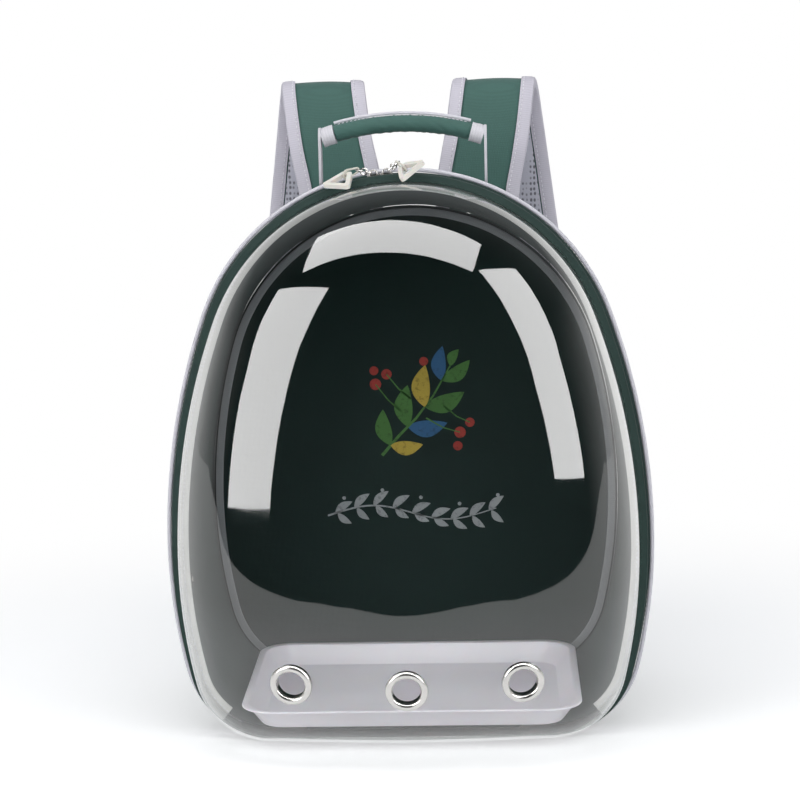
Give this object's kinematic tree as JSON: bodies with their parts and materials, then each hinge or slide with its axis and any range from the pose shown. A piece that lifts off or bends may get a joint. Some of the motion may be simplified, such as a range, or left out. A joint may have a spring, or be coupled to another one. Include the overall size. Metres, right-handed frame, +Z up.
{
  "type": "bird travel carrier",
  "caption": "Backpack carrier for a small bird: clear domed door with vent eyelets in an arched fabric cabin, carry handle and padded shoulder straps.",
  "frame": {"origin": "centre of the flat base, on the floor, midway between the cabin's front and back edges", "axes": "+X to the right seen from the front, +Y towards the wearer's back, +Z up"},
  "size_m": [0.366, 0.3518, 0.4823],
  "materials": {
    "green_fabric": "dense woven polyester, matt",
    "dark_fabric": "smooth woven lining, matt",
    "grey_fabric": "padded spacer mesh",
    "pale_fabric": "satin binding and webbing, stitched",
    "white_mesh": "open spacer mesh",
    "clear_sheet": "clear formed sheet, glossy",
    "nickel": "polished nickel plate",
    "zip_nylon": "nylon coil on woven tape",
    "cream_plastic": "smooth moulded plastic",
    "cord": "braided cord",
    "tray_plastic": "smooth moulded plastic",
    "grey_plastic": "fine texture",
    "base_board": "fabric-covered board, matt"
  },
  "bodies": {
    "cabin": {"base_panel": "base_board", "floor_pad": "dark_fabric", "gusset": "green_fabric", "back_panel": "green_fabric", "back_lining": "dark_fabric", "seam_binding": "pale_fabric", "rear_piping": "pale_fabric", "back_pad": "grey_fabric", "front_piping": "pale_fabric", "zip_tape_cabin": "zip_nylon", "hinge_strip": "dark_fabric", "vent_eyelets_left": "nickel", "vent_eyelets_right": "nickel", "handle_anchors": "green_fabric", "strap_yoke": "green_fabric", "strap_anchor_left": "green_fabric", "strap_anchor_right": "green_fabric"},
    "door": {"dome": "clear_sheet", "dome_eyelet_left": "nickel", "dome_eyelet_center": "nickel", "dome_eyelet_right": "nickel", "rim_band": "green_fabric", "rim_binding": "pale_fabric", "zip_tape_door": "zip_nylon"},
    "slider_left": {"slider_left": "nickel"},
    "slider_right": {"slider_right": "nickel"},
    "pull_left": {"pull_chain_left": "nickel", "pull_cord_left": "cord", "pull_tab_left": "cream_plastic"},
    "pull_right": {"pull_chain_right": "nickel", "pull_cord_right": "cord", "pull_tab_right": "cream_plastic"},
    "handle": {"handle_webbing": "pale_fabric", "handle_grip": "green_fabric", "handle_piping": "pale_fabric"},
    "strap_left": {"strap_pad_left": "green_fabric", "strap_mesh_left": "white_mesh", "strap_binding_left": "pale_fabric", "adjuster_left": "grey_plastic"},
    "strap_right": {"strap_pad_right": "green_fabric", "strap_mesh_right": "white_mesh", "strap_binding_right": "pale_fabric", "adjuster_right": "grey_plastic"},
    "webbing_left": {"strap_webbing_left": "pale_fabric"},
    "webbing_right": {"strap_webbing_right": "pale_fabric"},
    "tray": {"tray": "tray_plastic"}
  },
  "joints": [
    {"name": "door_hinge", "type": "hinge", "parent": "cabin", "child": "door", "pos_m": [0, -0.0816, 0.00169], "axis": [1, 0, 0], "range_deg": [0, 100]},
    {"name": "zip_run_left", "type": "hinge", "parent": "door", "child": "slider_left", "pos_m": [0, -0.06886, 0.26485], "axis": [0, 0.9981, -0.061], "range_deg": [-52, 0]},
    {"name": "zip_run_right", "type": "hinge", "parent": "door", "child": "slider_right", "pos_m": [0, -0.06886, 0.26485], "axis": [0, 0.9981, -0.061], "range_deg": [0, 60]},
    {"name": "pull_swing_left", "type": "hinge", "parent": "slider_left", "child": "pull_left", "pos_m": [-0.02248, -0.04968, 0.42037], "axis": [0, 0.9981, -0.061], "range_deg": [0, 60]},
    {"name": "pull_swing_right", "type": "hinge", "parent": "slider_right", "child": "pull_right", "pos_m": [-0.01052, -0.04961, 0.42163], "axis": [0, -0.9981, 0.061], "range_deg": [0, 60]},
    {"name": "handle_swing", "type": "hinge", "parent": "cabin", "child": "handle", "pos_m": [0, -0.02635, 0.41419], "axis": [1, 0, 0], "range_deg": [-30, 30]},
    {"name": "strap_swing_left", "type": "hinge", "parent": "cabin", "child": "strap_left", "pos_m": [-0.054, 0.093, 0.377], "axis": [1, 0, 0], "range_deg": [0, 8]},
    {"name": "strap_swing_right", "type": "hinge", "parent": "cabin", "child": "strap_right", "pos_m": [0.054, 0.093, 0.377], "axis": [1, 0, 0], "range_deg": [0, 8]},
    {"name": "webbing_slide_left", "type": "slide", "parent": "strap_left", "child": "webbing_left", "axis": [-0.1026, -0.32, -0.9418], "range_m": [-0.006, 0.006]},
    {"name": "webbing_slide_right", "type": "slide", "parent": "strap_right", "child": "webbing_right", "axis": [0.1026, -0.32, -0.9418], "range_m": [-0.006, 0.006]},
    {"name": "tray_lift", "type": "slide", "parent": "cabin", "child": "tray", "axis": [0, 0, 1], "range_m": [0, 0.08]}
  ]
}
